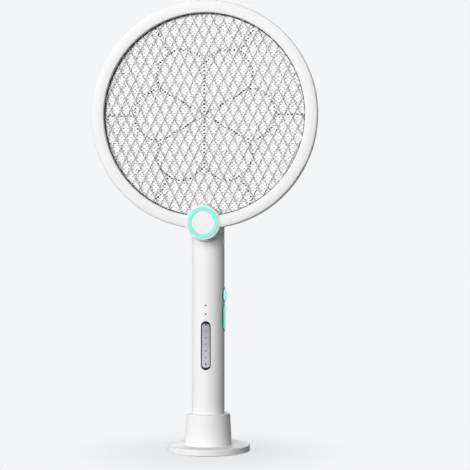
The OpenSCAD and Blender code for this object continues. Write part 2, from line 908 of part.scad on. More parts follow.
// Long key with a face that follows the handle
module trigger_key() {
    color(TEAL) union() {
        intersection() {
            translate([0, 0, trigger_z0 - 1]) difference() {
                cylinder(h = trigger_z1 - trigger_z0 + 2, r = trigger_face_r);
                translate([0, 0, -1])
                    cylinder(h = trigger_z1 - trigger_z0 + 4, r = key_skirt_r);
            }
            slot_bar_x(trigger_w, trigger_z0, trigger_z1, shell_r - 4, 30);
        }
        rod_x(0, trigger_mid(), stem_end_x, key_skirt_r + 0.5, stem_r);
    }
}

// Oval key with a domed face
module power_button() {
    color(TEAL) union() {
        difference() {
            intersection() {
                translate([handle_r + button_proud - button_dome_r, 0, button_mid()])
                    sphere(button_dome_r);
                slot_bar_x(button_w, button_z0, button_z1, shell_r - 4, 30);
            }
            translate([0, 0, button_z0 - 1])
                cylinder(h = button_z1 - button_z0 + 2, r = key_skirt_r);
        }
        rod_x(0, button_mid(), stem_end_x, key_skirt_r + 0.5, stem_r);
    }
}

// ---------------------------------------------------------------- electronics and battery

module main_board() {
    color(BOARD_GREEN) box([main_board_x, main_board_y, main_board_z0],
        [main_board_x + main_board_w, main_board_y + board_t, main_board_z1]);
}

// High voltage transformer: two core halves round a wound bobbin
module transformer() {
    x = main_board_x + 8;
    z = main_board_z1 - 32;
    color("dimgray") {
        box([x - 6, main_board_y - 10, z], [x + 6, main_board_y, z + 3]);
        box([x - 6, main_board_y - 10, z + 13], [x + 6, main_board_y, z + 16]);
        translate([x, main_board_y - 5, z + 2]) cylinder(h = 12, r = 4.6);
    }
}

module capacitor() {
    x = main_board_x + 3;
    z = main_board_z1 - 11;
    color("firebrick") box([x, main_board_y - 6, z], [x + 12, main_board_y, z + 9]);
}

module battery_cell() {
    color("steelblue") translate([0, cell_y, cell_z0]) {
        cylinder(h = cell_len - 1.5, r = cell_d / 2);
        cylinder(h = cell_len, r = 2.8);
    }
}

// Half tube with two end walls, against the rear shell
module battery_cradle() {
    r = cell_d / 2 + fit;
    z0 = cell_z0 - contact_t - 1;
    h = cell_len + 2 * contact_t + 2;
    color("ivory") intersection() {
        translate([0, cell_y, z0]) difference() {
            cylinder(h = h, r = r + cradle_wall);
            translate([0, 0, 1]) cylinder(h = h - 2, r = r);
        }
        box([-20, cell_y, z0], [20, 20, z0 + h]);
    }
}

module battery_contacts() {
    color("silver") for (z = [cell_z0 - contact_t, cell_z0 + cell_len])
        translate([0, cell_y, z]) cylinder(h = contact_t, r = contact_r);
}

module end_cap() {
    color(WHITE) difference() {
        union() {
            translate([0, 0, handle_z0]) cylinder(h = cap_h, r = handle_r);
            translate([0, 0, handle_z0]) cylinder(h = cap_h + spigot_h, r = shell_r - fit);
        }
        translate([0, 0, shell_z0]) cylinder(h = spigot_h + 1, r = shell_r - fit - 1.6);
        for (x = [-pad_x, pad_x])
            translate([x, 0, handle_z0 - 1]) cylinder(h = cap_h + 2, r = pad_r + fit / 2);
    }
}

module charge_pads() {
    color(BRASS) for (x = [-pad_x, pad_x])
        translate([x, 0, handle_z0 + pad_recess]) cylinder(h = cap_h, r = pad_r);
}

// ---------------------------------------------------------------- stand

// Radius of the collar at height z
function collar_r(z) = collar_r_bottom
    + (collar_r_top - collar_r_bottom) * (z - plate_h) / (collar_top - collar_round - plate_h);

// Outer half section of the foot plate and collar
module stand_outline_2d() {
    translate([0, foot_h]) {
        square([plate_r - plate_round, plate_h - foot_h]);
        square([plate_r, plate_h - foot_h - plate_round]);
    }
    translate([plate_r - plate_round, plate_h - plate_round]) circle(plate_round);
    polygon([[0, plate_h - 1], [collar_r_bottom, plate_h - 1], [collar_r_bottom, plate_h],
        [collar_r_top, collar_top - collar_round], [0, collar_top - collar_round]]);
    translate([0, collar_top - 2 * collar_round])
        square([collar_r_top - collar_round, 2 * collar_round]);
    translate([collar_r_top - collar_round, collar_top - collar_round]) circle(collar_round);
}

// Half section of the socket and of the hollow under the cover
module stand_hollow_2d() {
    sleeve_r = socket_r + sleeve_wall;
    top_z = collar_top - collar_round - 1;
    translate([0, socket_floor]) square([socket_r, collar_top]);
    square([plate_r - stand_wall, plate_h - stand_wall]);
    square([sleeve_r, socket_floor - floor_t]);
    polygon([[sleeve_r, plate_h - stand_wall - 1], [collar_r_bottom - stand_wall, plate_h - stand_wall - 1],
        [collar_r_bottom - stand_wall, plate_h], [collar_r(top_z) - stand_wall, top_z],
        [sleeve_r, top_z]]);
}

module at_stand_screws() {
    for (a = stand_screw_angles)
        rotate(a) translate([stand_screw_r, 0, 0]) children();
}

module stand_cover() {
    boss_z = foot_h + base_t + 1.1;
    color(WHITE) difference() {
        union() {
            rotate_extrude($fn = 128) difference() {
                stand_outline_2d();
                stand_hollow_2d();
            }
            at_stand_screws() translate([0, 0, boss_z])
                cylinder(h = plate_h - stand_wall - boss_z + 0.3, r = stand_boss_r);
        }
        at_stand_screws() translate([0, 0, boss_z - 1])
            cylinder(h = plate_h - boss_z, r = screw_shank_r + fit / 2);
        for (x = [-pad_x, pad_x])
            translate([x, 0, plate_h - stand_wall]) cylinder(h = 10, r = pin_contact_r + fit);
        box([-usb_w / 2 - fit, plate_r - usb_len - 1, usb_z - fit],
            [usb_w / 2 + fit, plate_r + 5, usb_z + usb_h + fit]);
    }
}

module stand_base() {
    top = foot_h + base_t;
    color(WHITE) difference() {
        union() {
            translate([0, 0, foot_h]) cylinder(h = base_t, r = base_r, $fn = 128);
            at_stand_screws() translate([0, 0, top - 0.5]) cylinder(h = 1.5, r = stand_boss_r);
        }
        translate([0, 0, foot_h - 1]) linear_extrude(1 + foot_groove)
            ring_2d(foot_r_out + fit / 2, foot_r_in - fit / 2);
        at_stand_screws() {
            cylinder(h = 10, r = screw_shank_r + fit / 2);
            cylinder(h = stand_screw_seat(), r = screw_head_r + fit);
        }
    }
}

// Height of the stand screws' seats, above the groove for the foot
function stand_screw_seat() = foot_h + base_t + 0.3;

module stand_screws() {
    color("silver") at_stand_screws() {
        translate([0, 0, stand_screw_seat() - 0.9]) cylinder(h = 0.9, r = screw_head_r);
        translate([0, 0, stand_screw_seat() - 0.5]) cylinder(h = 3.6, r = screw_shank_r);
    }
}

module ballast_ring() {
    z = foot_h + base_t + fit;
    color("dimgray") difference() {
        translate([0, 0, z]) linear_extrude(plate_h - stand_wall - z - fit)
            ring_2d(ballast_r_out, ballast_r_in);
        at_stand_screws() cylinder(h = 10, r = stand_boss_r + 0.5);
        box([-10.5, 0, 0], [10.5, 60, 10]);
    }
}

module stand_board() {
    z = usb_z + 0.2;
    color(BOARD_GREEN) box([-stand_board_w / 2, -stand_board_front, z],
        [stand_board_w / 2, plate_r - usb_len - 0.6, z + board_t]);
}

// Metal shell, open at the back of the stand, with its tongue
module usb_socket() {
    mouth_y = plate_r - 0.5;
    color("silver") {
        difference() {
            box([-usb_w / 2, mouth_y - usb_len, usb_z], [usb_w / 2, mouth_y, usb_z + usb_h]);
            box([-usb_w / 2 + usb_wall, mouth_y - usb_len + 1, usb_z + usb_wall],
                [usb_w / 2 - usb_wall, mouth_y + 1, usb_z + usb_h - usb_wall]);
        }
        box([-usb_w / 3, mouth_y - usb_len, usb_z + (usb_h - usb_tongue_t) / 2],
            [usb_w / 3, mouth_y - 1.2, usb_z + (usb_h + usb_tongue_t) / 2]);
    }
}

module contact_housing() {
    z0 = usb_z + 0.2 + board_t;
    z1 = socket_floor - floor_t - fit;
    color(BLACK) difference() {
        box([-pad_x - 3, -2.5, z0], [pad_x + 3, 2.5, z1]);
        for (x = [-pad_x, pad_x])
            translate([x, 0, z0 - 1]) cylinder(h = z1 - z0 + 2, r = pin_contact_r + fit);
    }
}

module spring_contacts() {
    z0 = usb_z + 0.2 + board_t + key_travel + 0.1;
    color(BRASS) for (x = [-pad_x, pad_x])
        translate([x, 0, z0]) cylinder(h = handle_z0 + pad_recess - 0.05 - z0, r = pin_contact_r);
}

module rubber_foot() {
    color(BLACK) linear_extrude(foot_h + foot_groove) ring_2d(foot_r_out, foot_r_in);
}

head_front_frame();
head_rear_frame();
front_net();
front_spacer();
live_net();
rear_spacer();
rear_net();
head_screws();
hub_ring();
hub_cap();
swivel_shaft();
pin_sleeve();
contact_pin();
live_strap();
earth_straps();
retaining_clip();
bearing_plate();
swivel_bush();
thrust_washer();
live_brush();
earth_brush();
handle_front_shell();
handle_rear_shell();
handle_screws();
window_lens();
lamp_board();
lamps();
indicator_lights();
key_bezel();
key_board();
tact_switches();
trigger_key();
power_button();
main_board();
transformer();
capacitor();
battery_cell();
battery_cradle();
battery_contacts();
end_cap();
charge_pads();
stand_cover();
stand_base();
ballast_ring();
stand_board();
usb_socket();
contact_housing();
spring_contacts();
stand_screws();
rubber_foot();
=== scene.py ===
"""Electric fly swatter on its charging stand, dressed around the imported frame. Metres throughout."""
import math

import bmesh
import bpy
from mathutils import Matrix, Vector


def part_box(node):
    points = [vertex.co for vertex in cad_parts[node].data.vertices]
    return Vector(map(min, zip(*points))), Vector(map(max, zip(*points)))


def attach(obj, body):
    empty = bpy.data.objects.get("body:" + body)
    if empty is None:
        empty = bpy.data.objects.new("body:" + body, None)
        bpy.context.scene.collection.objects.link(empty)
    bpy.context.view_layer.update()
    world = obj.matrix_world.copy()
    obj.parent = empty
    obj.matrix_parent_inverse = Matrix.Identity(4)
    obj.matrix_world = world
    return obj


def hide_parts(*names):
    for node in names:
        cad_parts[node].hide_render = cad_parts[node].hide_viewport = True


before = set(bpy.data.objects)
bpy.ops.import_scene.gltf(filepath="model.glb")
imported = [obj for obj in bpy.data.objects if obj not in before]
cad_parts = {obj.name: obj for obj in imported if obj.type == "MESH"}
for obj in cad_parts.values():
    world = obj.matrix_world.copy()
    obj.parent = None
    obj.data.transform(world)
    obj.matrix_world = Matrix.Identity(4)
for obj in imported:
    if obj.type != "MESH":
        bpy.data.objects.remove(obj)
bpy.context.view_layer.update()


# ---- Camera --------------------------------------------------------------------------------------
# A long lens stands level with the middle of the swatter, a few degrees round towards the keys.
# It points slightly to the right of the handle's axis, so the swatter stands left of the middle.
CAMERA_DISTANCE = 1.474
CAMERA_HEIGHT = 0.2116
CAMERA_TURN = math.radians(9)
CAMERA_AIM_RIGHT = math.radians(1.02)
CAMERA_LENS = 115.2

camera_data = bpy.data.cameras.new("camera")
camera_data.lens = CAMERA_LENS
camera_data.sensor_width = 36
camera = bpy.data.objects.new("camera", camera_data)
bpy.context.scene.collection.objects.link(camera)
camera.location = (
    CAMERA_DISTANCE * math.sin(CAMERA_TURN),
    -CAMERA_DISTANCE * math.cos(CAMERA_TURN),
    CAMERA_HEIGHT,
)
camera.rotation_euler = (math.radians(90), 0, CAMERA_TURN - CAMERA_AIM_RIGHT)
bpy.context.scene.camera = camera
bpy.context.scene.view_settings.view_transform = "Standard"


# ---- Room ----------------------------------------------------------------------------------------
# A pale seamless floor and background. One soft key light comes from the left of the camera, with
# weak fills from the left and from behind, so the right side of the swatter falls into shade.
BACKDROP = (0.905, 0.913, 0.928, 1)
FLOOR_SIZE = 12
FLOOR_BOUNCE = (0.24, 0.24, 0.245, 1)
FLOOR_PAPER = (0.86, 0.87, 0.885, 1)
SHADOW_START = 0.03
SHADOW_REACH = 0.16
SHADOW_SHARE = 0.25
KEY_STRENGTH = 3.6
KEY_FROM = (math.radians(-17), math.radians(10))
KEY_SIZE = math.radians(50)
LEFT_STRENGTH = 0.55
LEFT_FROM = (math.radians(-95), math.radians(10))
LEFT_SIZE = math.radians(50)
BACK_STRENGTH = 2.0
BACK_FROM = (math.radians(189), math.radians(5))
BACK_SIZE = math.radians(50)
ROOM_LIGHT = 0.03
CEILING_LIGHT = 0.15


class Wire:
    """One output of a shader or geometry node. Sums and products of Wires add Math nodes."""

    def __init__(self, tree, socket):
        self.tree = tree
        self.socket = socket

    @classmethod
    def node(cls, tree, kind, settings=None, inputs=None, output=0):
        """Adds a node, sets its settings, then fills its sockets with values or Wires."""
        made = tree.nodes.new(kind)
        for name, value in (settings or {}).items():
            setattr(made, name, value)
        for name, value in (inputs or {}).items():
            if isinstance(value, Wire):
                tree.links.new(value.socket, made.inputs[name])
            else:
                made.inputs[name].default_value = value
        return cls(tree, made.outputs[output])

    def maths(self, operation, first, second=0.0):
        """A Math node in this tree."""
        return Wire.node(self.tree, "ShaderNodeMath", {"operation": operation}, {0: first, 1: second})

    def most(self, other):
        """The larger of this and another value."""
        return self.maths("MAXIMUM", self, other)

    def __add__(self, other):
        return self.maths("ADD", self, other)

    __radd__ = __add__

    def __sub__(self, other):
        return self.maths("SUBTRACT", self, other)

    def __rsub__(self, other):
        return self.maths("SUBTRACT", other, self)

    def __mul__(self, other):
        return self.maths("MULTIPLY", self, other)

    __rmul__ = __mul__


def sun(name, strength, direction, size):
    """A soft distant lamp. direction is (turn from the swatter's face, height) in radians."""
    turn, height = direction
    lamp = bpy.data.lights.new(name, "SUN")
    lamp.energy = strength
    lamp.angle = size
    lamp_object = bpy.data.objects.new(name, lamp)
    away = Vector((math.sin(turn) * math.cos(height), -math.cos(turn) * math.cos(height),
                   math.sin(height)))
    lamp_object.rotation_euler = away.to_track_quat("Z", "Y").to_euler()
    bpy.context.scene.collection.objects.link(lamp_object)


def seen_directly(tree):
    """1 where the camera, a reflection or a view through glass looks at the background."""
    rays = [Wire.node(tree, "ShaderNodeLightPath", output=name)
            for name in ("Is Camera Ray", "Is Glossy Ray", "Is Transmission Ray")]
    return rays[0].most(rays[1]).most(rays[2])


sun("key_light", KEY_STRENGTH, KEY_FROM, KEY_SIZE)
sun("left_fill", LEFT_STRENGTH, LEFT_FROM, LEFT_SIZE)
sun("back_fill", BACK_STRENGTH, BACK_FROM, BACK_SIZE)

world = bpy.data.worlds.new("room")
bpy.context.scene.world = world
world.use_nodes = True
sky = world.node_tree
sky_place = Wire.node(sky, "ShaderNodeTexCoord", output=0)
sky_height = Wire.node(sky, "ShaderNodeSeparateXYZ", None, {0: sky_place}, output=2)
room = Wire.node(sky, "ShaderNodeBackground", None, {
    "Color": (1, 1, 1, 1), "Strength": ROOM_LIGHT + CEILING_LIGHT * sky_height.most(0.0)})
backdrop = Wire.node(sky, "ShaderNodeBackground", None, {"Color": BACKDROP, "Strength": 1})
sky_mix = Wire.node(sky, "ShaderNodeMixShader", None,
                    {0: seen_directly(sky), 1: room, 2: backdrop})
sky.links.new(sky_mix.socket, sky.nodes["World Output"].inputs["Surface"])

floor_mesh = bpy.data.meshes.new("floor")
edge = FLOOR_SIZE / 2
floor_mesh.from_pydata([(-edge, -edge, 0), (edge, -edge, 0), (edge, edge, 0), (-edge, edge, 0)],
                       [], [(0, 1, 2, 3)])
floor = bpy.data.objects.new("floor", floor_mesh)
bpy.context.scene.collection.objects.link(floor)
paper_material = bpy.data.materials.new("floor_paper")
paper_material.use_nodes = True
paper = paper_material.node_tree
paper_place = Wire.node(paper, "ShaderNodeTexCoord", output=3)
reach = Wire.node(paper, "ShaderNodeVectorMath", {"operation": "LENGTH"},
                  {0: paper_place}, output="Value")
shadow_share = Wire.node(paper, "ShaderNodeMapRange", {"interpolation_type": "SMOOTHSTEP"}, {
    "Value": reach, "From Min": SHADOW_START, "From Max": SHADOW_REACH,
    "To Min": SHADOW_SHARE, "To Max": 0.0})
paper_glow = Wire.node(paper, "ShaderNodeEmission", None, {"Color": BACKDROP, "Strength": 1})
paper_lit = Wire.node(paper, "ShaderNodeBsdfDiffuse", None, {"Color": FLOOR_PAPER})
paper_seen = Wire.node(paper, "ShaderNodeMixShader", None,
                       {0: shadow_share, 1: paper_glow, 2: paper_lit})
paper_bounce = Wire.node(paper, "ShaderNodeBsdfDiffuse", None, {"Color": FLOOR_BOUNCE})
paper_mix = Wire.node(paper, "ShaderNodeMixShader", None,
                      {0: seen_directly(paper), 1: paper_bounce, 2: paper_seen})
paper.links.new(paper_mix.socket, paper.nodes["Material Output"].inputs["Surface"])
floor_mesh.materials.append(paper_material)


# ---- Foot plate and collar -----------------------------------------------------------------------
# The round foot plate and the collar that holds the handle are one hollow moulding in white ABS,
# with a satin grain from the mould. A flat base plate closes it from below.
WHITE = (0.90, 0.902, 0.902)
WARM_SHIFT = (0.985, 0.98, 0.972)
SEAM_GREY = (0.42, 0.42, 0.43)
SEAM_HALF_WIDTH = 0.00006
SEAM_SOFT = 0.00008


class Finish:
    """A material on a Principled shader, with patterns in the piece's own coordinates."""

    def __init__(self, name, **constants):
        self.material = bpy.data.materials.new(name)
        self.material.use_nodes = True
        self.tree = self.material.node_tree
        self.shader = self.tree.nodes["Principled BSDF"]
        for socket, value in constants.items():
            self.shader.inputs[socket.replace("_", " ")].default_value = value
        self.place = Wire.node(self.tree, "ShaderNodeTexCoord", output=3)

    def noise(self, scale, detail=2, stretch=(1, 1, 1)):
        """Noise from 0 to 1 with about scale bumps to the metre, squeezed along each axis."""
        vector = Wire.node(self.tree, "ShaderNodeMapping", None,
                           {"Vector": self.place, "Scale": stretch})
        return Wire.node(self.tree, "ShaderNodeTexNoise", None,
                         {"Vector": vector, "Scale": scale, "Detail": detail})

    def along(self, axis):
        """The place along X, Y or Z, given as 0, 1 or 2."""
        return Wire.node(self.tree, "ShaderNodeSeparateXYZ", None, {0: self.place}, output=axis)

    def fade(self, value, start, end):
        """0 where value is start, rising smoothly to 1 where it is end."""
        return Wire.node(self.tree, "ShaderNodeMapRange", {"interpolation_type": "SMOOTHSTEP"},
                         {"Value": value, "From Min": start, "From Max": end})

    def near(self, value, middle, half_width, soft):
        """1 where value is within half_width of middle, fading to 0 over soft."""
        away = value.maths("ABSOLUTE", value - middle)
        return 1 - self.fade(away, half_width, half_width + soft)

    def blend(self, mask, low, high):
        """Colour low where mask is 0 and high where it is 1."""
        low, high = (c if isinstance(c, Wire) else (*c, 1) for c in (low, high))
        return Wire.node(self.tree, "ShaderNodeMix", {"data_type": "RGBA"},
                         {0: mask, 6: low, 7: high}, output=2)

    def bump(self, height, depth, strength):
        """Relief from a height of 0 to 1 that stands for a depth in metres."""
        self.feed("Normal", Wire.node(self.tree, "ShaderNodeBump", None, {
            "Height": height, "Distance": depth, "Strength": strength}))

    def feed(self, socket, wire):
        """Links a pattern to one of the shader's sockets."""
        self.tree.links.new(wire.socket, self.shader.inputs[socket])


def shade(finish, *nodes):
    """Gives CAD nodes a finish."""
    for name in nodes:
        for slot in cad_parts[name].material_slots:
            slot.material = finish.material


def white_abs(name, seam=None):
    """White ABS with a mould grain. seam is the Y of a parting line, which shows as a fine groove."""
    finish = Finish(name, Specular_IOR_Level=0.2)
    patches = finish.noise(24, 3)
    warm = tuple(channel * shift for channel, shift in zip(WHITE, WARM_SHIFT))
    colour = finish.blend(patches, warm, WHITE)
    grain = finish.noise(2600, 2)
    height = grain
    if seam is not None:
        groove = finish.near(finish.along(1), seam, SEAM_HALF_WIDTH, SEAM_SOFT)
        colour = finish.blend(groove, colour, SEAM_GREY)
        height = grain - 2 * groove
    finish.feed("Base Color", colour)
    finish.feed("Roughness", 0.50 + 0.10 * patches + 0.05 * grain)
    finish.bump(height, 0.00003, 0.35)
    return finish


white = white_abs("white_abs")
shade(white, "stand_cover", "stand_base")


# ---- Rubber foot ---------------------------------------------------------------------------------
# A soft black rubber ring pressed into a groove under the base plate keeps the stand from sliding.
# It has the matt, slightly porous skin of moulded rubber.
rubber = Finish("black_rubber", Specular_IOR_Level=0.3)
rubber_pores = rubber.noise(900, 3)
rubber.feed("Base Color", rubber.blend(rubber_pores, (0.016, 0.016, 0.017), (0.034, 0.034, 0.035)))
rubber.feed("Roughness", 0.74 + 0.16 * rubber_pores)
rubber.bump(rubber_pores, 0.00008, 0.6)
shade(rubber, "rubber_foot")


# ---- Ballast -------------------------------------------------------------------------------------
# A cast iron ring lies in the foot plate, so that the tall swatter doesn't tip over. It is left
# bare, with the grain of its sand mould.
iron = Finish("cast_iron", Metallic=0.6)
iron_sand = iron.noise(700, 5)
iron.feed("Base Color", iron.blend(iron_sand, (0.10, 0.10, 0.105), (0.20, 0.195, 0.19)))
iron.feed("Roughness", 0.55 + 0.25 * iron_sand)
iron.bump(iron_sand, 0.0002, 0.6)
shade(iron, "ballast_ring")


# ---- Circuit boards ------------------------------------------------------------------------------
# Glass fibre boards under green solder mask: the stand's charging board, the main board, the key
# board and the lamp board. Straight copper tracks show through the mask as paler lines.
board = Finish("solder_mask", Coat_Weight=0.4, Coat_Roughness=0.15)
board_tracks = board.noise(260, 1, (1, 1, 7))
track_mask = board.near(board_tracks, 0.5, 0.035, 0.02)
board.feed("Base Color", board.blend(track_mask, (0.012, 0.105, 0.045), (0.03, 0.19, 0.08)))
board.feed("Roughness", 0.36 + 0.2 * board.noise(1200, 2))
board.bump(track_mask, 0.00003, 0.6)
shade(board, "stand_board", "main_board", "key_board", "lamp_board")


# ---- Charging inlet and contacts -----------------------------------------------------------------
# A drawn steel USB socket sits at the back of the stand. Two sprung brass pins in a black block
# feed the brass pads in the handle's end cap.
def metal(name, dark, light, roughness, stretch):
    """Bare or plated metal with fine drawing or turning marks."""
    finish = Finish(name, Metallic=1.0)
    marks = finish.noise(900, 3, stretch)
    finish.feed("Base Color", finish.blend(marks, dark, light))
    finish.feed("Roughness", roughness + 0.16 * marks)
    finish.bump(marks, 0.00003, 0.4)
    return finish


steel = metal("plated_steel", (0.50, 0.50, 0.51), (0.66, 0.66, 0.67), 0.26, (1, 1, 6))
brass = metal("turned_brass", (0.62, 0.42, 0.15), (0.80, 0.58, 0.25), 0.24, (6, 1, 6))
black = Finish("black_abs", Specular_IOR_Level=0.35)
black_grain = black.noise(1800, 2)
black.feed("Base Color", black.blend(black_grain, (0.008, 0.008, 0.009), (0.018, 0.018, 0.020)))
black.feed("Roughness", 0.48 + 0.15 * black_grain)
black.bump(black_grain, 0.00003, 0.4)
shade(steel, "usb_socket")
shade(black, "contact_housing")
shade(brass, "spring_contacts", "charge_pads")


# ---- Screws --------------------------------------------------------------------------------------
# Plated pan head screws with a cross recess: three close the stand from below, five join the handle
# shells from behind and eight clamp the two halves of the head frame.
SCREW_HEAD = 0.002
SCREW_HEAD_HEIGHT = 0.0016
SCREW_HEAD_RIM = 0.35
SCREW_STEPS = 32
SCREW_SHANK = 0.0011
SCREW_TIP = 0.0014
RECESS_REACH = 0.0012
RECESS_WIDTH = 0.00042
RECESS_DEPTH = 0.0008
RECESS_TAPER = 0.72
LOW_HEAD_HEIGHT = 0.0009


def link(name, mesh):
    """Puts a mesh in the scene as a piece at the origin."""
    piece = bpy.data.objects.new(name, mesh)
    bpy.context.scene.collection.objects.link(piece)
    return piece


def keep(name, shape):
    """Turns a bmesh into a piece."""
    mesh = bpy.data.meshes.new(name)
    shape.to_mesh(mesh)
    shape.free()
    return link(name, mesh)


def turned(name, outline, steps):
    """A lathe piece round Z. outline is a list of (radius, height), from pole to pole."""
    shape = bmesh.new()
    rings = []
    for radius, height in outline:
        turns = [2 * math.pi * i / steps for i in range(steps if radius else 1)]
        rings.append([shape.verts.new((radius * math.cos(a), radius * math.sin(a), height))
                      for a in turns])
    for low, high in zip(rings, rings[1:]):
        for i in range(steps):
            j = (i + 1) % steps
            corners = [low[i % len(low)], low[j % len(low)], high[j % len(high)], high[i % len(high)]]
            unique = list(dict.fromkeys(corners))
            if len(unique) > 2:
                shape.faces.new(unique)
    bmesh.ops.recalc_face_normals(shape, faces=shape.faces)
    return keep(name, shape)


def pan_screw(name, length, head_height):
    """A screw along Z whose head's seat is at the origin and whose shank points down."""
    shank = [(0, -length), (SCREW_SHANK * 0.5, -length), (SCREW_SHANK, SCREW_TIP - length),
             (SCREW_SHANK, 0), (SCREW_HEAD, 0)]
    dome = [(SCREW_HEAD * math.cos(a),
             head_height * (SCREW_HEAD_RIM + (1 - SCREW_HEAD_RIM) * math.sin(a)))
            for a in (math.radians(d) for d in (0, 18, 36, 54, 72))]
    body = turned(name, shank + dome + [(0, head_height)], SCREW_STEPS)
    cross = bmesh.new()
    for long_side, short_side in ((RECESS_REACH, RECESS_WIDTH), (RECESS_WIDTH, RECESS_REACH)):
        bar = bmesh.ops.create_cube(cross, size=1)["verts"]
        for vertex in bar:
            narrow = RECESS_TAPER if vertex.co.z < 0 else 1.0
            vertex.co = Vector((vertex.co.x * 2 * long_side * narrow,
                                vertex.co.y * 2 * short_side * narrow,
                                head_height + vertex.co.z * 2 * RECESS_DEPTH))
    cutter = keep(name + "_cross", cross)
    cut = body.modifiers.new("recess", "BOOLEAN")
    cut.operation = "DIFFERENCE"
    cut.solver = "EXACT"
    cut.use_self = True
    cut.object = cutter
    whole = bpy.data.meshes.new_from_object(
        body.evaluated_get(bpy.context.evaluated_depsgraph_get()))
    bpy.data.objects.remove(body)
    bpy.data.objects.remove(cutter)
    whole.name = name
    return whole


def group_input(tree, name, kind, value=None):
    """Adds a named input to a geometry tree."""
    socket = tree.interface.new_socket(name, in_out="INPUT", socket_type=kind)
    if value is not None:
        socket.default_value = value


def fastener_tree():
    """Geometry nodes that set a screw at each given point, each turned by its own angle."""
    tree = bpy.data.node_groups.new("fasteners", "GeometryNodeTree")
    tree.interface.new_socket("Geometry", in_out="OUTPUT", socket_type="NodeSocketGeometry")
    group_input(tree, "Points", "NodeSocketGeometry")
    group_input(tree, "Screw", "NodeSocketObject")
    group_input(tree, "Tilt", "NodeSocketVector", (0, 0, 0))
    group_input(tree, "Seed", "NodeSocketInt", 1)
    group_input(tree, "Finish", "NodeSocketMaterial")
    given = tree.nodes.new("NodeGroupInput")
    value = {socket.name: Wire(tree, socket) for socket in given.outputs}
    screw = Wire.node(tree, "GeometryNodeObjectInfo", None, {"Object": value["Screw"]}, "Geometry")
    tilt = Wire.node(tree, "FunctionNodeEulerToRotation", None, {0: value["Tilt"]})
    set_in = Wire.node(tree, "GeometryNodeInstanceOnPoints", None, {
        "Points": value["Points"], "Instance": screw, "Rotation": tilt})
    turn = Wire.node(tree, "FunctionNodeRandomValue", {"data_type": "FLOAT"},
                     {2: 0.0, 3: math.pi / 2, "Seed": value["Seed"]}, output=1)
    spin = Wire.node(tree, "ShaderNodeCombineXYZ", None, {"Z": turn})
    driven = Wire.node(tree, "GeometryNodeRotateInstances", None, {
        "Instances": set_in, "Rotation": spin, "Local Space": True})
    real = Wire.node(tree, "GeometryNodeRealizeInstances", None, {"Geometry": driven})
    coated = Wire.node(tree, "GeometryNodeSetMaterial", None,
                       {"Geometry": real, "Material": value["Finish"]})
    tree.links.new(coated.socket, tree.nodes.new("NodeGroupOutput").inputs[0])
    return tree


def grow(name, tree, values, points=()):
    """Runs a geometry tree on given points and keeps the result as a plain mesh object."""
    seed_mesh = bpy.data.meshes.new(name + "_seed")
    seed_mesh.from_pydata(points, [], [])
    seed = link(name + "_seed", seed_mesh)
    modifier = seed.modifiers.new("grow", "NODES")
    modifier.node_group = tree
    sockets = {item.name: item.identifier for item in tree.interface.items_tree}
    for socket, value in values.items():
        modifier[sockets[socket]] = value
    mesh = bpy.data.meshes.new_from_object(
        seed.evaluated_get(bpy.context.evaluated_depsgraph_get()))
    bpy.data.objects.remove(seed)
    mesh.name = name
    return link(name, mesh)


def stand_in(piece, body, slot, *nodes):
    """Lets a piece stand for CAD nodes on a body. slot is not used."""
    if nodes:
        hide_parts(*nodes)
    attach(piece, body)


SMOOTH_METAL = 35
SMOOTH_MOULDED = 40


def smooth(piece, angle):
    """Smooth shading, with sharp edges where two faces meet at more than the angle in degrees."""
    piece.data.shade_smooth()
    piece.data.set_sharp_from_angle(angle=math.radians(angle))


def drive_screws(name, body, length, head_height, seats, tilt, seed):
    """Drives one screw into each seat, in place of the CAD node of that name."""
    screw = link(name + "_pattern", pan_screw(name + "_pattern", length, head_height))
    made = grow(name + "_driven", fasteners, {
        "Screw": screw, "Tilt": tilt, "Seed": seed, "Finish": steel.material}, seats)
    bpy.data.objects.remove(screw)
    smooth(made, SMOOTH_METAL)
    stand_in(made, body, "steel", name)


fasteners = fastener_tree()
FACING_BACK = (math.radians(-90), 0, 0)
FACING_DOWN = (math.radians(180), 0, 0)
STAND_SCREW_LENGTH = 0.0031
STAND_SCREW_CIRCLE = 0.0338
STAND_SCREW_TURNS = (30, 150, 270)
HANDLE_SCREW_LENGTH = 0.012
HANDLE_SCREW_SUNK = 0.0008
HANDLE_SCREW_PLACES = (
    (0, 0.026), (-0.0104, 0.1092), (0.0104, 0.1092), (-0.0104, 0.204), (0.0104, 0.204))
HANDLE_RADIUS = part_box("handle_front_shell")[1][0]
HEAD_SCREW_LENGTH = 0.0086
HEAD_SCREW_CIRCLE = 0.1064
HEAD_SCREW_SEAT = -0.0198
HEAD_SCREWS = 8
HEAD_SCREWS_Z = (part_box("head_screws")[0][2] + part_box("head_screws")[1][2]) / 2

stand_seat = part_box("stand_screws")[0][2] + LOW_HEAD_HEIGHT
drive_screws("stand_screws", "stand", STAND_SCREW_LENGTH, LOW_HEAD_HEIGHT, [
    (STAND_SCREW_CIRCLE * math.cos(math.radians(a)), STAND_SCREW_CIRCLE * math.sin(math.radians(a)),
     stand_seat) for a in STAND_SCREW_TURNS], FACING_DOWN, 3)

handle_seats = []
for x, z in HANDLE_SCREW_PLACES:
    wall = math.sqrt(HANDLE_RADIUS ** 2 - (abs(x) + SCREW_HEAD) ** 2)
    handle_seats.append((x, wall - SCREW_HEAD_HEIGHT - HANDLE_SCREW_SUNK, z))
drive_screws("handle_screws", "handle", HANDLE_SCREW_LENGTH, SCREW_HEAD_HEIGHT, handle_seats,
             FACING_BACK, 5)

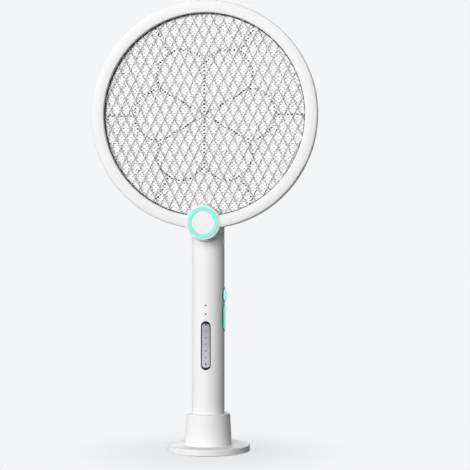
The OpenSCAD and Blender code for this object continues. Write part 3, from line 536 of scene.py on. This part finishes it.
head_seats = []
for i in range(HEAD_SCREWS):
    turn = (i + 0.5) * 2 * math.pi / HEAD_SCREWS
    head_seats.append((HEAD_SCREW_CIRCLE * math.sin(turn), HEAD_SCREW_SEAT,
                       HEAD_SCREWS_Z + HEAD_SCREW_CIRCLE * math.cos(turn)))
drive_screws("head_screws", "head", HEAD_SCREW_LENGTH, SCREW_HEAD_HEIGHT, head_seats, FACING_BACK, 8)


# ---- Handle shells -------------------------------------------------------------------------------
# Two white ABS half shells meet on a fine parting line down both sides of the handle, and the end
# cap closes them below. The ends of the screw bosses are worked back flush with their round skin.
PROUD_BOSS = 0.001
MERGE_REACH = 1e-7

shell_abs = white_abs("white_abs_handle", seam=0.0)
for node_name in ("handle_front_shell", "handle_rear_shell"):
    shape = bmesh.new()
    shape.from_mesh(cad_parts[node_name].data)
    bmesh.ops.remove_doubles(shape, verts=shape.verts, dist=MERGE_REACH)
    # Only the boss ends lie this little outside the round skin
    for vertex in shape.verts:
        reach = math.hypot(vertex.co.x, vertex.co.y)
        if HANDLE_RADIUS < reach < HANDLE_RADIUS + PROUD_BOSS:
            vertex.co.x *= HANDLE_RADIUS / reach
            vertex.co.y *= HANDLE_RADIUS / reach
    shell = keep(node_name + "_skin", shape)
    split_normals = shell.data.attributes.get("custom_normal")
    if split_normals is not None:
        shell.data.attributes.remove(split_normals)
    smooth(shell, SMOOTH_MOULDED)
    shell.data.materials.append(shell_abs.material)
    stand_in(shell, "handle", "white_plastic", node_name)
shade(white, "end_cap")


# ---- Battery and high voltage parts --------------------------------------------------------------
# A rechargeable cell in blue shrink wrap sits in an ivory nylon cradle between sprung contacts.
# The main board above it carries a black wound transformer and a red film capacitor.
WRAP_END_TOP = (0.0022, 0.0018)
WRAP_END_BOTTOM = (0.0006, 0.001)

ivory = Finish("ivory_nylon", Specular_IOR_Level=0.35)
ivory_flow = ivory.noise(220, 3)
ivory.feed("Base Color", ivory.blend(ivory_flow, (0.66, 0.60, 0.46), (0.74, 0.69, 0.56)))
ivory.feed("Roughness", 0.42 + 0.14 * ivory_flow)
ivory.bump(ivory_flow, 0.00003, 0.4)

wrap = Finish("blue_shrink_wrap", Coat_Weight=0.3, Coat_Roughness=0.2)
cell_low, cell_high = (corner[2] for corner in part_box("battery_cell"))
cell_height = wrap.along(2)
bare_end = wrap.fade(cell_height, *(cell_high - inset for inset in WRAP_END_TOP)).most(
    1 - wrap.fade(cell_height, *(cell_low + inset for inset in WRAP_END_BOTTOM)))
wrap_creases = wrap.noise(300, 3, (1, 1, 3))
wrap.feed("Base Color", wrap.blend(bare_end, wrap.blend(
    wrap_creases, (0.02, 0.09, 0.26), (0.03, 0.13, 0.34)), (0.60, 0.60, 0.61)))
wrap.feed("Metallic", bare_end)
wrap.feed("Roughness", 0.26 + 0.12 * wrap_creases)
wrap.bump(wrap_creases, 0.00004, 0.3)

epoxy = Finish("red_epoxy", Coat_Weight=0.5, Coat_Roughness=0.1)
epoxy_flow = epoxy.noise(500, 2)
epoxy.feed("Base Color", epoxy.blend(epoxy_flow, (0.30, 0.03, 0.015), (0.42, 0.05, 0.022)))
epoxy.feed("Roughness", 0.22 + 0.12 * epoxy_flow)
epoxy.bump(epoxy_flow, 0.00006, 0.3)

shade(wrap, "battery_cell")
shade(ivory, "battery_cradle")
shade(steel, "battery_contacts")
shade(black, "transformer")
shade(epoxy, "capacitor")


# ---- Lamp window ---------------------------------------------------------------------------------
# Four small lamps sit on their board behind a frosted grey window that follows the handle's curve. A
# black frame, broader at both ends, holds the window in the handle's wall. The frost carries painted
# shade: it darkens towards the top, and dark spots mark the lamps behind it.
WINDOW_LOW, WINDOW_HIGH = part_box("window_lens")
WINDOW_WIDTH = WINDOW_HIGH[0] - WINDOW_LOW[0]
WINDOW_MIDDLE = (WINDOW_LOW[2] + WINDOW_HIGH[2]) / 2
WINDOW_STRAIGHT = (WINDOW_HIGH[2] - WINDOW_LOW[2] - WINDOW_WIDTH) / 2
FRAME_SIDE = 0.0007
FRAME_END = 0.0024
FRAME_FLUSH = 0.00002
FRAME_DEPTH = 0.0024
FRAME_STEPS = 24
GUIDE_OVERLAP = 0.0001
GUIDE_EDGE = 0.0008
GUIDE_FACE = 0.0006
GUIDE_BEVEL = 0.0002
GUIDE_INNER_RING = 0.0016
GUIDE_BACK = 0.0025
SLOT_STEPS = 16
NEARLY_CLOSED = 0.00001
LAMPS = 4
LAMP_TOP = 0.1247
LAMP_PITCH = 0.0128
LAMP_SHADE_SPOT = (0.0006, 0.0013)


def slot_outline(half_width, straight, steps):
    """Points round an upright slot, as pairs across and up from its centre."""
    points = []
    for end, start in ((1, 0), (-1, 180)):
        for i in range(steps + 1):
            turn = math.radians(start + 180 * i / steps)
            points.append((half_width * math.cos(turn), end * straight + half_width * math.sin(turn)))
    return points


def skin(shape, low, high):
    """Covers the band between two loops of points."""
    for i in range(len(low)):
        j = (i + 1) % len(low)
        shape.faces.new((low[i], low[j], high[j], high[i]))


def slot_shell(name, half_width, straight, rings):
    """A slot-shaped piece skinned over rings. A ring is (inset, place), and place turns a point
    across and up into the piece's space. The last ring closes onto the slot's middle line."""
    shape = bmesh.new()
    loops = []
    for inset, place in rings:
        outline = slot_outline(half_width - inset, straight, SLOT_STEPS)
        loops.append([shape.verts.new(place(a, u)) for a, u in outline])
    for low, high in zip(loops, loops[1:]):
        skin(shape, low, high)
    for loop in (loops[0], loops[-1]):
        count = len(loop)
        for i in range(count // 2 - 1):
            shape.faces.new((loop[i], loop[i + 1], loop[count - 2 - i], loop[count - 1 - i]))
    bmesh.ops.remove_doubles(shape, verts=shape.verts, dist=MERGE_REACH)
    bmesh.ops.recalc_face_normals(shape, faces=shape.faces)
    piece = keep(name, shape)
    smooth(piece, SMOOTH_MOULDED)
    return piece


def on_handle(depth):
    """Places a point of the window at a depth below the handle's skin."""
    radius = HANDLE_RADIUS - depth

    def place(across, up):
        return (across, -math.sqrt(radius ** 2 - across ** 2), WINDOW_MIDDLE + up)
    return place


window_half = WINDOW_WIDTH / 2
frame_shape = bmesh.new()
frame_loops = []
for inset, end_inset, depth in ((0, 0, FRAME_FLUSH), (FRAME_SIDE, FRAME_END, FRAME_FLUSH),
                                (FRAME_SIDE, FRAME_END, FRAME_DEPTH), (0, 0, FRAME_DEPTH)):
    half = window_half - inset
    place = on_handle(depth)
    loop = []
    for across, up in slot_outline(half, WINDOW_STRAIGHT, FRAME_STEPS):
        beyond = max(0.0, abs(up) - WINDOW_STRAIGHT)
        pulled = abs(up) - (end_inset - inset) * beyond / half
        loop.append(frame_shape.verts.new(place(across, math.copysign(pulled, up))))
    frame_loops.append(loop)
for low, high in zip(frame_loops, frame_loops[1:] + frame_loops[:1]):
    skin(frame_shape, low, high)
bmesh.ops.recalc_face_normals(frame_shape, faces=frame_shape.faces)
window_frame = keep("window_frame", frame_shape)
smooth(window_frame, SMOOTH_MOULDED)
frame_print = Finish("window_frame_print", Specular_IOR_Level=0.12)
frame_specks = frame_print.noise(1500, 2)
frame_print.feed("Base Color", frame_print.blend(
    frame_specks, (0.006, 0.005, 0.006), (0.016, 0.014, 0.016)))
frame_print.feed("Roughness", 0.35 + 0.15 * frame_specks)
window_frame.data.materials.append(frame_print.material)
stand_in(window_frame, "handle", "black_plastic", "window_lens")

guide_half = window_half - FRAME_SIDE + GUIDE_OVERLAP
guide = slot_shell("light_guide", guide_half, WINDOW_STRAIGHT, [
    (guide_half - NEARLY_CLOSED, on_handle(GUIDE_BACK)), (NEARLY_CLOSED, on_handle(GUIDE_BACK)),
    (0, on_handle(GUIDE_EDGE)), (GUIDE_BEVEL, on_handle(GUIDE_FACE)),
    (GUIDE_INNER_RING, on_handle(GUIDE_FACE)), (guide_half - NEARLY_CLOSED, on_handle(GUIDE_FACE))])
frosted = Finish("frosted_guide", Specular_IOR_Level=0.4, Coat_Weight=0.5, Coat_Roughness=0.12)
guide_up = frosted.along(2)
guide_flow = frosted.noise(260, 3)
# Painted shade: the frost darkens towards the top of the window.
guide_painted_shade = frosted.fade(guide_up, WINDOW_LOW[2], WINDOW_HIGH[2])
guide_colour = frosted.blend(guide_painted_shade, (0.54, 0.53, 0.58), (0.34, 0.33, 0.385))
shade_spots = 2 * LAMPS - 1
for i in range(shade_spots):
    # Painted shade: a dark spot on the frost stands for each lamp behind it, near black at the two end
    # lamps, and a fainter spot lies between two lamps
    lamp_z = LAMP_TOP - i * LAMP_PITCH / 2
    offset = Wire.node(frosted.tree, "ShaderNodeVectorMath", {"operation": "SUBTRACT"},
                       {0: frosted.place, 1: (0, -HANDLE_RADIUS, lamp_z)})
    flat = Wire.node(frosted.tree, "ShaderNodeVectorMath", {"operation": "MULTIPLY"},
                     {0: offset, 1: (1, 0, 1)})
    away = Wire.node(frosted.tree, "ShaderNodeVectorMath", {"operation": "LENGTH"},
                     {0: flat}, output="Value")
    lamp_shade_spot = 1 - frosted.fade(away, *LAMP_SHADE_SPOT)
    spot_shade = (0.27, 0.265, 0.30) if i % 2 else (0.20, 0.195, 0.23)
    if i in (0, shade_spots - 1):
        spot_shade = (0.02, 0.018, 0.024)
    guide_colour = frosted.blend(lamp_shade_spot, guide_colour, spot_shade)
frosted.feed("Base Color", guide_colour)
frosted.feed("Roughness", 0.30 + 0.15 * guide_flow)
frosted.bump(guide_flow, 0.00003, 0.3)
guide.data.materials.append(frosted.material)
stand_in(guide, "handle", "lens", "window_lens")

led = Finish("clear_epoxy", Specular_IOR_Level=0.5, Coat_Weight=0.6, Coat_Roughness=0.05)
led_flow = led.noise(900, 2)
led.feed("Base Color", led.blend(led_flow, (0.70, 0.68, 0.78), (0.80, 0.78, 0.86)))
led.feed("Roughness", 0.12 + 0.1 * led_flow)
shade(led, "lamps")
pilot = Finish("dark_red_epoxy", Specular_IOR_Level=0.1)
pilot_flow = pilot.noise(1200, 2)
pilot.feed("Base Color", pilot.blend(pilot_flow, (0.020, 0.003, 0.004), (0.034, 0.005, 0.006)))
pilot.feed("Roughness", 0.25 + 0.15 * pilot_flow)
shade(pilot, "indicator_lights")


# ---- Keys ----------------------------------------------------------------------------------------
# The power button is a low dome and the key below it a long curved bar, both moulded in glossy mint
# teal ABS with rounded edges and given a painted glow. A black surround and floor in the handle's wall
# hold them; the surround's dark brown-grey is painted shade for the gap round the keys.
KEY_ROUND = 0.0007
KEY_ROUND_STEPS = 4
KEY_RINGS = (0.25, 0.45, 0.65, 0.85)
KEY_SKIRT = 0.0148
BUTTON_DOME = 0.026
TEAL_LOW = (0.19, 0.78, 0.64)
TEAL_HIGH = (0.22, 0.83, 0.69)


def teal_abs(name, glow):
    """Glossy teal ABS. glow is the strength of a painted glow: the plastic emits light of its own
    though it holds no lamp.
    """
    finish = Finish(name, Specular_IOR_Level=0.45, Emission_Strength=glow)
    patches = finish.noise(60, 3)
    colour = finish.blend(patches, TEAL_LOW, TEAL_HIGH)
    finish.feed("Base Color", colour)
    finish.feed("Emission Color", colour)
    grain = finish.noise(2200, 2)
    finish.feed("Roughness", 0.26 + 0.08 * grain)
    finish.bump(grain, 0.00002, 0.3)
    return finish


def key_cap(name, node_name, face):
    """A key as a slot-shaped bar towards +X. face gives X over the key from across and up. The
    rings inside the rounded edge let a domed face curve."""
    low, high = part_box(node_name)
    half_width = (high[1] - low[1]) / 2
    middle = (low[2] + high[2]) / 2
    straight = (high[2] - low[2]) / 2 - half_width

    def at(drop):
        def place(across, up):
            return (face(across, up) - drop, across, middle + up)
        return place

    def skirt(across, up):
        return (KEY_SKIRT, across, middle + up)
    rings = [(half_width - NEARLY_CLOSED, skirt), (0, skirt), (0, at(KEY_ROUND))]
    for step in range(1, KEY_ROUND_STEPS + 1):
        turn = math.radians(90 * step / KEY_ROUND_STEPS)
        rings.append((KEY_ROUND * (1 - math.cos(turn)), at(KEY_ROUND * (1 - math.sin(turn)))))
    for inset in KEY_RINGS:
        rings.append((KEY_ROUND + (half_width - KEY_ROUND) * inset, at(0)))
    rings.append((half_width - NEARLY_CLOSED, at(0)))
    return slot_shell(name, half_width, straight, rings)


TRIGGER_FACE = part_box("trigger_key")[1][0]
BUTTON_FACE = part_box("power_button")[1][0]
# Painted glow: the keys emit a little light of their own, so they stay bright on the shaded side of the
# handle.
teal_keys_painted_glow = teal_abs("teal_abs_keys_painted_glow", 0.45)
trigger = key_cap("trigger_cap", "trigger_key",
                  lambda across, up: math.sqrt(TRIGGER_FACE ** 2 - across ** 2))
trigger.data.materials.append(teal_keys_painted_glow.material)
stand_in(trigger, "trigger", "teal_plastic", "trigger_key")
button = key_cap("power_cap", "power_button", lambda across, up: (
    BUTTON_FACE - BUTTON_DOME + math.sqrt(BUTTON_DOME ** 2 - across ** 2 - up ** 2)))
button.data.materials.append(teal_keys_painted_glow.material)
stand_in(button, "button", "teal_plastic", "power_button")
# Painted shade: the surround is dark brown-grey to stand for the shade in the gap round the keys.
surround = Finish("surround_painted_gap_shade", Specular_IOR_Level=0.15)
surround_grain = surround.noise(1800, 2)
surround.feed("Base Color", surround.blend(
    surround_grain, (0.035, 0.030, 0.033), (0.060, 0.052, 0.056)))
surround.feed("Roughness", 0.45 + 0.15 * surround_grain)
surround.bump(surround_grain, 0.00003, 0.4)
shade(surround, "key_bezel")
shade(black, "tact_switches")


# ---- Swivel bearing ------------------------------------------------------------------------------
# The head turns on a hollow steel shaft in an ivory nylon bush, between a white bearing plate on
# the handle and a washer and spring clip behind. Brass brushes and straps carry the charge across.
shade(white, "bearing_plate")
shade(ivory, "swivel_bush", "pin_sleeve")
shade(steel, "swivel_shaft", "thrust_washer", "retaining_clip")
shade(brass, "live_brush", "earth_brush", "contact_pin", "live_strap", "earth_straps")


# ---- Head frame ----------------------------------------------------------------------------------
# Two white ABS rings clamp the stack of nets. The front one has a crowned face, and the rear one
# holds the screws. They meet on a fine parting line round the outside of the rim.
RIM_LOW, RIM_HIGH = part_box("head_rear_frame")
shade(white_abs("white_abs_head", seam=RIM_LOW[1]), "head_front_frame", "head_rear_frame")


# ---- Earthed nets --------------------------------------------------------------------------------
# Two round sheets of raised expanded steel with tall diamonds stand at the front and back of the stack.
# Their strands slope: the faces are bright nickel, and the slopes leaning towards +X are painted dark
# as shade.
NET_RADIUS = 0.1008
OUTER_CELL = (0.009564, 0.018858)
OUTER_STRAND = 0.0009
OUTER_RIDGE = 0.0001
OUTER_DEPTH = 0.0006
FRONT_NET_PLACE = (-0.00058, -0.00372)
REAR_NET_PLACE = (0.00015, -0.00282)
HUB_KEEP_OUT = 0.0156
SHADE_LEAN = 0.05
HEAD_RADIUS = RIM_HIGH[0]
HEAD_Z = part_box("head_front_frame")[1][2] - HEAD_RADIUS
HUB_Z = (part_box("hub_ring")[0][2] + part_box("hub_ring")[1][2]) / 2


def net_tree():
    """Geometry nodes that punch a round sheet of diamonds out of a turned and stretched grid. A strand
    has a flat ridge on both faces and slopes down to its full width in the middle. The slopes that lean
    to the given side get a second, darker finish: painted shade."""
    tree = bpy.data.node_groups.new("expanded_net", "GeometryNodeTree")
    tree.interface.new_socket("Geometry", in_out="OUTPUT", socket_type="NodeSocketGeometry")
    group_input(tree, "Cells", "NodeSocketInt", 10)
    for name in ("Cell width", "Cell height", "Shift", "Lift", "Ridge opening", "Web opening", "Radius",
                 "Hub drop", "Hub keep out", "Thickness"):
        group_input(tree, name, "NodeSocketFloat", 0.0)
    group_input(tree, "Shaded side", "NodeSocketVector", (1, 0, 0))
    group_input(tree, "Face finish", "NodeSocketMaterial")
    group_input(tree, "Shade finish", "NodeSocketMaterial")

    def node(kind, settings=None, inputs=None, output=0):
        return Wire.node(tree, kind, settings, inputs, output)

    def outputs_of(wire, *names):
        return [Wire(tree, wire.socket.node.outputs[name]) for name in names]

    given = tree.nodes.new("NodeGroupInput")
    value = {socket.name: Wire(tree, socket) for socket in given.outputs}
    cells = value["Cells"]
    half_thick = value["Thickness"] * 0.5
    grid = node("GeometryNodeMeshGrid", None, {
        "Size X": cells, "Size Y": cells, "Vertices X": cells + 1, "Vertices Y": cells + 1})
    # A unit square turned by 45 degrees is sqrt(2) wide
    diamonds = node("GeometryNodeTransform", None,
                    {"Geometry": grid, "Rotation": (0, 0, math.radians(45))})
    stretch = node("ShaderNodeCombineXYZ", None, {
        "X": value["Cell width"] * (1 / math.sqrt(2)),
        "Y": value["Cell height"] * (1 / math.sqrt(2)), "Z": 1.0})
    shift = node("ShaderNodeCombineXYZ", None, {
        "X": value["Shift"], "Y": value["Lift"], "Z": half_thick})
    sheet = node("GeometryNodeTransform", None,
                 {"Geometry": diamonds, "Scale": stretch, "Translation": shift})
    place = node("GeometryNodeInputPosition")
    reach = node("ShaderNodeVectorMath", {"operation": "LENGTH"}, {0: place}, "Value")
    hub = node("ShaderNodeCombineXYZ", None, {"Y": value["Hub drop"] * -1})
    from_hub = node("ShaderNodeVectorMath", {"operation": "DISTANCE"}, {0: place, 1: hub}, "Value")
    outside = reach.maths("GREATER_THAN", reach, value["Radius"])
    at_hub = reach.maths("LESS_THAN", from_hub, value["Hub keep out"])
    trimmed = node("GeometryNodeDeleteGeometry", {"domain": "FACE"},
                   {"Geometry": sheet, "Selection": outside.most(at_hub)})
    # An extrusion follows the faces' own normals unless its offset is linked
    down = node("ShaderNodeCombineXYZ", None, {"Z": -1.0})
    rim_edge = node("GeometryNodeInputMeshEdgeNeighbors")
    walled, = outputs_of(node("GeometryNodeExtrudeMesh", {"mode": "EDGES"}, {
        "Mesh": trimmed, "Selection": rim_edge.maths("COMPARE", rim_edge, 1),
        "Offset": down, "Offset Scale": half_thick}), "Mesh")
    upright = node("ShaderNodeSeparateXYZ", None, {0: node("GeometryNodeInputNormal")}, output=2)
    ridge, ridge_top = outputs_of(node("GeometryNodeExtrudeMesh", {"mode": "FACES"}, {
        "Mesh": walled, "Selection": upright.maths("GREATER_THAN", upright, 0.5),
        "Individual": True, "Offset Scale": 0.0}), "Mesh", "Top")
    ridged = node("GeometryNodeScaleElements", {"domain": "FACE"}, {
        "Geometry": ridge, "Selection": ridge_top, "Scale": value["Ridge opening"]})
    web, web_top = outputs_of(node("GeometryNodeExtrudeMesh", {"mode": "FACES"}, {
        "Mesh": ridged, "Selection": ridge_top, "Individual": True,
        "Offset": down, "Offset Scale": half_thick}), "Mesh", "Top")
    sloped = node("GeometryNodeScaleElements", {"domain": "FACE"}, {
        "Geometry": web, "Selection": web_top,
        "Scale": value["Web opening"].maths("DIVIDE", value["Web opening"], value["Ridge opening"])})
    pierced = node("GeometryNodeDeleteGeometry", {"domain": "FACE"},
                   {"Geometry": sloped, "Selection": web_top})
    mirrored = node("GeometryNodeTransform", None, {"Geometry": pierced, "Scale": (1, 1, -1)})
    flipped = node("GeometryNodeFlipFaces", None, {"Mesh": mirrored})
    join = tree.nodes.new("GeometryNodeJoinGeometry")
    tree.links.new(pierced.socket, join.inputs[0])
    tree.links.new(flipped.socket, join.inputs[0])
    closed = node("GeometryNodeMergeByDistance", None,
                  {"Geometry": Wire(tree, join.outputs[0]), "Distance": 1e-6})
    raised = node("GeometryNodeTransform", None, {
        "Geometry": closed, "Translation": node("ShaderNodeCombineXYZ", None, {"Z": half_thick})})
    real = node("GeometryNodeRealizeInstances", None, {"Geometry": raised})
    faced = node("GeometryNodeSetMaterial", None,
                 {"Geometry": real, "Material": value["Face finish"]})
    # Painted shade: slopes leaning to the given side take the darker finish
    sideways = node("ShaderNodeVectorMath", {"operation": "DOT_PRODUCT"}, {
        0: node("GeometryNodeInputNormal"), 1: value["Shaded side"]}, "Value")
    shaded_slopes = node("GeometryNodeSetMaterial", None, {
        "Geometry": faced, "Selection": sideways.maths("GREATER_THAN", sideways, SHADE_LEAN),
        "Material": value["Shade finish"]})
    tree.links.new(shaded_slopes.socket, tree.nodes.new("NodeGroupOutput").inputs[0])
    return tree


def nickel(name, dark, light):
    """Nickel plate whose grey varies between two levels."""
    finish = Finish(name, Metallic=0.25)
    patches = finish.noise(300, 3)
    finish.feed("Base Color", finish.blend(patches, (dark,) * 3, (light,) * 3))
    finish.feed("Roughness", 0.34 + 0.14 * patches)
    finish.bump(finish.noise(3000, 2), 0.00002, 0.3)
    return finish


def opening(cell, strand):
    """How far a diamond hole shrinks about its centre to leave strands this wide."""
    return 1 - strand / 2 * math.hypot(2 / cell[0], 2 / cell[1])


def expand(node_name, outward, cell, strand, ridge, depth, place, shaded_side, face, edge):
    """Grows a net that faces outward along Y and stands it up in the middle of its CAD node. The slopes
    that lean to the given side take the second finish, painted shade.
    """
    low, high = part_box(node_name)
    net_cells = 2 * math.ceil(NET_RADIUS * math.hypot(1 / cell[0], 1 / cell[1])) + 2
    net = grow(node_name + "_fine", expanded_net, {
        "Cells": net_cells, "Cell width": cell[0], "Cell height": cell[1],
        "Shift": place[0], "Lift": place[1],
        "Ridge opening": opening(cell, ridge), "Web opening": opening(cell, strand),
        "Radius": NET_RADIUS, "Hub drop": HEAD_Z - HUB_Z, "Hub keep out": HUB_KEEP_OUT,
        "Thickness": depth, "Shaded side": shaded_side,
        "Face finish": face.material, "Shade finish": edge.material})
    net.data.materials.pop(index=0)
    behind = (low[1] + high[1] - outward * depth) / 2
    for vertex in net.data.vertices:
        across, up, out = vertex.co
        vertex.co = (-across * outward, behind + outward * out, HEAD_Z + up)
    net.data.update()
    return net


expanded_net = net_tree()
# The second finish of each net is painted shade, darker slopes on one side of every strand.
front_face = nickel("nickel_front", 0.86, 0.96)
front_painted_shade = nickel("nickel_front_painted_shade", 0.008, 0.016)
rear_face = nickel("nickel_rear", 0.88, 0.98)
rear_painted_shade = nickel("nickel_rear_painted_shade", 0.80, 0.90)
front_net = expand("front_net", -1, OUTER_CELL, OUTER_STRAND, OUTER_RIDGE, OUTER_DEPTH,
                   FRONT_NET_PLACE, (1, 0, 0), front_face, front_painted_shade)
stand_in(front_net, "head", "net_steel", "front_net")
rear_net = expand("rear_net", 1, OUTER_CELL, OUTER_STRAND, OUTER_RIDGE, OUTER_DEPTH,
                  REAR_NET_PLACE, (1, 0, 0), rear_face, rear_painted_shade)
stand_in(rear_net, "head", "net_steel", "rear_net")


# ---- Live net ------------------------------------------------------------------------------------
# The middle net is a sheet of the same kind with much smaller diamonds, in satin nickel. Its strands
# slope too, and the slopes facing down are painted dark as shade. It carries the high voltage.
LIVE_CELL = (0.00451, 0.00357)
LIVE_STRAND = 0.0012
LIVE_RIDGE = 0.0004
LIVE_DEPTH = 0.0006
LIVE_NET_PLACE = (0.00223, -0.00072)
live_face = nickel("nickel_live", 0.92, 1.0)
# Painted shade for the downward slopes of the strands
live_painted_shade = nickel("nickel_live_painted_shade", 0.015, 0.030)
live_net = expand("live_net", -1, LIVE_CELL, LIVE_STRAND, LIVE_RIDGE, LIVE_DEPTH,
                  LIVE_NET_PLACE, (0, -1, 0), live_face, live_painted_shade)
stand_in(live_net, "head", "live_net_steel", "live_net")


# ---- Spacers -------------------------------------------------------------------------------------
# A plain black ABS ring keeps the front net off the live net. Behind the live net lies a thin black
# ABS lattice, whose ribs draw a flower of six petals with spokes out to a ring inside the rim.
shade(black, "front_spacer", "rear_spacer")


# ---- Hub -----------------------------------------------------------------------------------------
# A teal ABS ring is pressed into the front of the hub, and a white ABS cap closes the hub inside the
# ring. The cap is plain.
shade(teal_abs("teal_abs_hub", 0.0), "hub_ring")
shade(white, "hub_cap")
